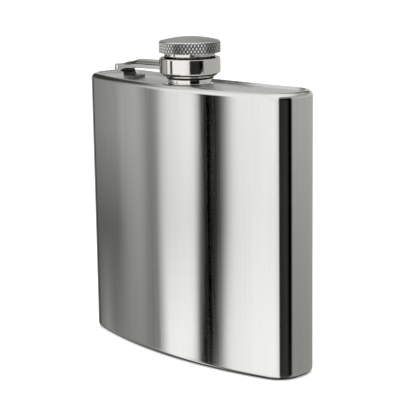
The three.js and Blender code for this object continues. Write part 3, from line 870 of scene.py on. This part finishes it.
def build_bracket():
    """A strap: flat foot, upright stem, and a knuckle wrapped round the pin."""
    half = STRAP / 2
    foot_z = bracket_low.z + half
    foot_end = bracket_high.x
    stem_x = PIVOT.x + STRAP_FROM_PIN - half
    wrap = PIN + 0.1 * MM + KNUCKLE_HALF
    top_z = PIVOT.z - wrap
    path = [(x, foot_z, half, STRAP_FOOT_HALF) for x in
            (foot_end, foot_end - 0.4 * MM, stem_x + STRAP_BEND + 0.3 * MM)]
    lower = (stem_x + STRAP_BEND, foot_z + STRAP_BEND)
    narrowing = steps(8, STRAP_FOOT_HALF, STRAP_NECK_HALF)
    corner = bend(lower, STRAP_BEND, -QUARTER, -2 * QUARTER, half, STRAP_FOOT_HALF)
    path += [(x, z, half, width) for (x, z, *_), width in zip(corner, narrowing)]
    upper = (stem_x - STRAP_BEND, top_z - STRAP_BEND)
    path += bend(upper, STRAP_BEND, 0, QUARTER, half, STRAP_NECK_HALF)
    path += [(PIVOT.x + 0.3 * MM, top_z, 0.26 * MM, STRAP_NECK_HALF)]
    path += bend((PIVOT.x, PIVOT.z), wrap, -QUARTER, -QUARTER - KNUCKLE_TURN, KNUCKLE_HALF,
                 STRAP_NECK_HALF, 28)
    strap = strip("hinge_strap", path, AXIS_Y, 0.12 * MM)
    place(strap, "flask", "hinge_steel", STEEL_HINGE, "hinge_bracket")


def build_pin():
    """A rivet with a low domed head at each end."""
    half = (pin_high.y - pin_low.y) / 2
    head = PIN_HEAD_HEIGHT
    outline = [(PIN_HEAD * math.sin(a), -half + head * 0.8 * (1 - math.cos(a)))
               for a in steps(8, 0, QUARTER)[1:]]
    outline += [(PIN_HEAD, -half + head), (PIN, -half + head)]
    outline += [(r, -y) for r, y in reversed(outline)]
    around = steps(40, 0, TAU)[:-1]
    rings = [[(PIVOT.x + r * math.cos(a), PIVOT.y + y, PIVOT.z + r * math.sin(a)) for a in around]
             for r, y in outline]
    pin = solid_loft("hinge_rivet", rings, sharp=50)
    place(pin, "arm", "bright_steel", STEEL_BRIGHT, "hinge_pin")


def arm_section(underside, shoulder, crown):
    """[y, z] round the arched channel's section: the outside of one half, its mirror, the inside."""
    half = ARM_WIDTH / 2
    edge = 0.12 * MM
    outer = [(half - edge, underside), (half, underside + edge)]
    outer += arc(half - ARM_FOLD, shoulder - ARM_FOLD, ARM_FOLD, 0, QUARTER * 0.8, 6)
    fold_y, fold_z = outer[-1]
    for t in steps(8, 1, 0)[1:]:
        outer.append((fold_y * t, shoulder + crown * (1 - t * t) - (shoulder - fold_z) * t))
    wall = half - ARM_SHEET
    roof = shoulder - ARM_SHEET
    inner = [(0, roof + crown)]
    inner += [(wall * t * 0.94, roof + crown * (1 - t * t)) for t in steps(6, 0, 1)[1:]]
    inner += [(wall, roof - 0.15 * MM), (wall, underside + edge), (wall + edge, underside)]
    outer_left = [(-y, z) for y, z in reversed(outer[:-1])]
    inner_left = [(-y, z) for y, z in reversed(inner[1:])]
    return outer + outer_left + inner_left + inner


def joined(name, base, others):
    """One closed mesh made of the base and the closed meshes that overlap it."""
    for other in others:
        union = base.modifiers.new("union", "BOOLEAN")
        union.operation, union.solver, union.object = "UNION", "EXACT", other
    graph = bpy.context.evaluated_depsgraph_get()
    mesh = bpy.data.meshes.new_from_object(base.evaluated_get(graph))
    vertices = [tuple(v.co) for v in mesh.vertices]
    faces = [tuple(face.vertices) for face in mesh.polygons]
    for used in (base, *others):
        bpy.data.objects.remove(used)
    return make_object(name, vertices, faces, sharp=30)


def prism(name, outline, y, width):
    """An [x, z] outline pushed along Y, centred on y."""
    rings = [[(x, y + side * width / 2, z) for x, z in outline] for side in (-1, 1)]
    return solid_loft(name, rings)


def build_arm():
    """An arched channel with two ears round the pin and a saddle on the collar."""
    collar = collar_high.x
    start = PIVOT.x + ARM_START
    kink = start + ARM_BEND
    end = -(collar + 0.4 * MM)
    top = collar_high.z - ARM_BELOW_RIM
    under = top - ARM_DEPTH
    tip_under = PIVOT.z - 0.05 * MM
    tip_top = tip_under + ARM_TIP_DEPTH
    # Along the arm: (x, underside, top, share of the full crown)
    stations = [
        (start, tip_under, tip_top, 0.5),
        (start + 0.6 * MM, tip_under + 0.03 * MM, tip_top + 0.04 * MM, 0.55),
        (kink - 1.6 * MM, under - 0.55 * MM, top - 0.75 * MM, 0.9),
        (kink - 0.7 * MM, under - 0.42 * MM, top - 0.4 * MM, 1),
        (kink, under - 0.36 * MM, top - 0.28 * MM, 1),
        (kink + 1 * MM, under - 0.32 * MM, top - 0.22 * MM, 1),
        (end, under, top, 1),
    ]
    rings = []
    for x, low, high, share in stations:
        crown = ARM_CROWN * share
        rings.append([(x, AXIS_Y + y, z) for y, z in arm_section(low, high - crown, crown)])
    channel = solid_loft("channel", rings)
    ear_x = start + 0.4 * MM
    ear_top = tip_top - ARM_CROWN * 0.5 - 0.02 * MM
    outline = [(ear_x, tip_under + 0.02 * MM), (ear_x, ear_top)]
    outline += arc(PIVOT.x, PIVOT.z, EAR, 0.42 * math.pi, 1.55 * math.pi, 28)
    offset = (ARM_WIDTH - ARM_SHEET) / 2
    ears = [prism("ear", outline, AXIS_Y + side * offset, ARM_SHEET * 0.999) for side in (-1, 1)]
    arm = joined("cap_link", channel, [*ears, arm_saddle(collar + 0.1 * MM)])
    rounding = arm.modifiers.new("edges", "BEVEL")
    rounding.width, rounding.segments = 0.1 * MM, 2
    rounding.limit_method, rounding.angle_limit = "ANGLE", math.radians(40)
    place(arm, "arm", "bright_steel", STEEL_BRIGHT, "cap_arm")
    paint_crease_shade(arm, stations)


def arm_saddle(inner):
    """The curved end of the arm, which hugs the collar."""
    turn = SADDLE_HALF_ANGLE
    curve = arc(0, AXIS_Y, inner, math.pi - turn, math.pi + turn, 24)
    curve += arc(0, AXIS_Y, inner + SADDLE, math.pi + turn, math.pi - turn, 24)
    low = collar_low.z + COLLAR_CONE + 0.1 * MM
    high = collar_high.z - 0.2 * MM
    return solid_loft("saddle", [[(x, y, z) for x, y in curve] for z in (low, high)])


def paint_crease_shade(arm, stations):
    """Paints shade into the crease under the arm's crown, where the sheet folds down into the sides."""
    arm.data.materials.append(SEAM_SHADE)
    for face in arm.data.polygons:
        x, y, z = face.center
        for (x0, _, high0, share0), (x1, _, high1, share1) in zip(stations, stations[1:]):
            if x0 <= x < x1:
                t = (x - x0) / (x1 - x0)
                shoulder = high0 + (high1 - high0) * t - ARM_CROWN * (share0 + (share1 - share0) * t)
                on_crease = shoulder - 0.3 * MM < z < shoulder - 0.03 * MM
                if on_crease and abs(y - AXIS_Y) > ARM_WIDTH / 2 - ARM_FOLD:
                    face.material_index = 1


# ---- Collar and cap ---------------------------------------------------------------------


def build_collar():
    """A cup with a folded cone below, and two seams painted dark as shade: under the fold and round its
    foot.
    """
    radius = collar_high.x
    bottom, top = collar_low.z, collar_high.z
    bore = NECK + COLLAR_BORE_GAP
    inside = radius - COLLAR_WALL
    fold = bottom + COLLAR_CONE
    slope = (radius - bore - 0.3 * MM) / COLLAR_CONE
    floor = bottom + COLLAR_FLOOR
    seam_low, seam_high = fold - 0.8 * MM, fold - 0.36 * MM
    seam = radius - 1.06 * MM
    foot_seam = bottom + 0.5 * MM
    outline = [
        (bore, bottom + 0.05 * MM), (bore + 0.05 * MM, bottom), (bore + 0.2 * MM, bottom),
        (bore + 0.24 * MM, foot_seam), (bore + 0.4 * MM, foot_seam + 0.02 * MM),
        (bore + 0.5 * MM, foot_seam + 0.08 * MM),
        (seam + 0.06 * MM, seam_low - 0.06 * MM), (seam, seam_low), (seam, seam_high),
        (radius - 0.3 * MM, seam_high), (radius - 0.2 * MM, seam_high + 0.06 * MM), (radius, fold),
        *arc(radius - COLLAR_EASE, top - COLLAR_EASE, COLLAR_EASE, 0, QUARTER, 6),
        (inside + 0.1 * MM, top), (inside, top - 0.1 * MM), (inside, fold + 0.2 * MM),
        (inside - 0.4 * MM, fold + 0.05 * MM), (inside - (fold - floor) * slope, floor), (bore, floor),
    ]
    collar = turned("collar_cup", outline, 192, sharp=24)
    place(collar, "arm", "bright_steel", STEEL_BRIGHT, "collar_body")
    collar.data.materials.append(SEAM_SHADE)
    # The faces in the fold's seam and round the foot take the painted shade material
    for face in collar.data.polygons:
        x, y, z = face.center
        reach = math.hypot(x, y - AXIS_Y)
        in_fold = (seam - 0.04 * MM < reach < radius - 0.4 * MM
                   and seam_low - 0.02 * MM < z < seam_high + 0.06 * MM)
        in_foot = z < foot_seam + 0.01 * MM and reach > bore + 0.1 * MM
        if in_fold or in_foot:
            face.material_index = 1
    hole = HUB + 0.2 * MM
    cover = turned("collar_lid", rounded([
        (hole, cover_low.z), (cover_high.x, cover_low.z), (cover_high.x, cover_high.z),
        (hole, cover_high.z)], 0.08 * MM), 160)
    place(cover, "arm", "bright_steel", STEEL_BRIGHT, "collar_cover")


def build_ring():
    """The snap ring, open by a small gap."""
    inner, outer = HUB - RING_GROOVE + RING_FIT, ring_high.y - AXIS_Y
    gap = math.asin(RING_GAP / 2 / outer)
    section = rounded([(inner, ring_low.z), (outer, ring_low.z), (outer, ring_high.z),
                       (inner, ring_high.z)], 0.06 * MM)
    rings = [[(r * math.cos(a), AXIS_Y + r * math.sin(a), z) for r, z in section]
             for a in steps(150, gap, TAU - gap)]
    ring = solid_loft("snap_ring", rings)
    place(ring, "cap_carrier", "bright_steel", STEEL_BRIGHT, "retaining_ring")


def build_insert():
    """The cap's threaded tube, and the washer above it."""
    bore = SPOUT_BORE + SPOUT_WALL + THREAD + THREAD_PLAY
    low, high = insert_low.z, insert_high.z
    tube = turned("insert_tube", rounded([(bore, low), (NECK, low), (NECK, high), (bore, high)],
                                         0.12 * MM), 160)
    ridge = thread("insert_ridge", bore, bore - CAP_THREAD, low + 1.0 * MM, THREAD_TURNS, inward=True)
    place(merged("cap_insert", tube, ridge), "cap", "bright_steel", STEEL_BRIGHT, "threaded_insert")
    radius, bottom, top = gasket_high.x, gasket_low.z, gasket_high.z
    edge = rounded([(0, bottom), (radius, bottom), (radius, top), (0, top)], 0.15 * MM)[2:-2]
    seal = turned("cap_washer", [(0, bottom), *edge, (0, top)], 96)
    place(seal, "cap", "seal", SEAL, "cap_gasket")


def saw(value):
    """0 at whole numbers, 1 half way between them."""
    part = value % 1
    return 1 - abs(2 * part - 1)


def build_cap():
    """The knob: a plain hub with a socket, a knurled band and a domed top, all in one mesh."""
    radius = cap_high.x
    edge_z = cap_high.z - CAP_DOME
    under = edge_z - CAP_HEIGHT
    foot = cap_low.z
    roof = gasket_high.z + 0.1 * MM
    ease = 0.1 * MM
    groove = HUB - RING_GROOVE
    groove_low, groove_high = ring_low.z - RING_FIT, ring_high.z + RING_FIT
    hub = [(0, roof), (HUB_BORE - ease, roof), (HUB_BORE, roof - ease), (HUB_BORE, foot + ease),
           (HUB_BORE + ease, foot), (HUB - 0.12 * MM, foot), (HUB, foot + 0.12 * MM),
           (HUB, groove_low), (groove, groove_low), (groove, groove_high), (HUB, groove_high),
           (HUB, under - 0.12 * MM), (HUB + 0.05 * MM, under - 0.03 * MM), (HUB + 0.15 * MM, under),
           (radius - CAP_EDGE - KNURL_DEPTH, under)]
    band = []
    for z in steps(KNURL_ROWS, under, edge_z):
        chamfer = max(0, CAP_UNDEREDGE - (z - under), CAP_EDGE - (edge_z - z))
        band.append((radius - chamfer, z))
    dome = [((radius - CAP_EDGE) * t, edge_z + CAP_DOME * (1 - t * t)) for t in steps(16, 1, 0)[1:]]
    profile = hub + band + dome
    knurled = range(len(hub), len(hub) + len(band))
    columns = KNURL_COUNT * KNURL_STEPS
    vertices, faces = [], []
    for i in range(columns):
        angle = TAU * i / columns
        for j, (r, z) in enumerate(profile):
            if j in knurled:
                u = i / KNURL_STEPS
                v = (z - under) / KNURL_PERIOD
                height = min(1, KNURL_SHARPNESS * min(saw(u + v), saw(u - v)))
                r = min(r, radius - KNURL_DEPTH * (1 - height))
            vertices.append((r * math.cos(angle), AXIS_Y + r * math.sin(angle), z))
    count = len(profile)
    for i in range(columns):
        n = (i + 1) % columns
        for j in range(count - 1):
            faces.append((i * count + j, n * count + j, n * count + j + 1, i * count + j + 1))
    cap = make_object("cap_knob", vertices, faces, sharp=30)
    weld(cap)
    cap.data.polygons.foreach_set("use_smooth", [True] * len(cap.data.polygons))
    cap.data.set_sharp_from_angle(angle=math.radians(30))
    place(cap, "cap", "cap_steel", STEEL_CAP, "cap_head")
    cap.data.materials.append(STEEL_BRIGHT)
    cap.data.materials.append(STEEL_KNURL)
    for face in cap.data.polygons:
        if face.center.z < under + 0.02 * MM:
            face.material_index = 1
        elif face.center.z < edge_z - 0.02 * MM:
            face.material_index = 2


build_camera()
build_floor()
build_world()
build_lights()
build_body()
build_spout()
build_bracket()
build_pin()
build_arm()
build_collar()
build_ring()
build_insert()
build_cap()

bpy.context.scene.view_settings.view_transform = "Standard"
